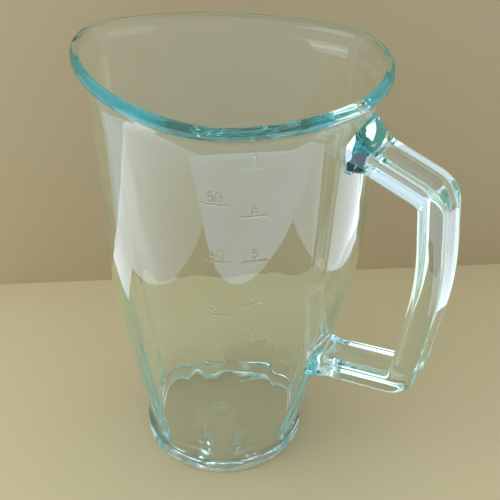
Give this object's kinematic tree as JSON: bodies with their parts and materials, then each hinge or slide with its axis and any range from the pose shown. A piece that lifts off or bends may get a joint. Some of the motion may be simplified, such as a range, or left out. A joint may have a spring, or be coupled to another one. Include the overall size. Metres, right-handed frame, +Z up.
{
  "type": "glass mixer jug",
  "caption": "Pressed clear green-tinted glass jug with a three-cornered mouth, pouring corner, side handle, fluted open foot and raised measuring scales.",
  "frame": {"origin": "centre of the base ring's underside, on the axis of the round foot", "axes": "+Z up, +X toward the handle, -X toward the pouring corner"},
  "size_m": [0.1919, 0.128, 0.216],
  "materials": {
    "glass": "gloss"
  },
  "bodies": {
    "root": {"jug_body": "glass", "rim": "glass", "foot_ring": "glass", "handle": "glass", "upper_handle_pad": "glass", "lower_handle_pad": "glass", "cup_scale": "glass", "ounce_scale": "glass"}
  },
  "joints": []
}
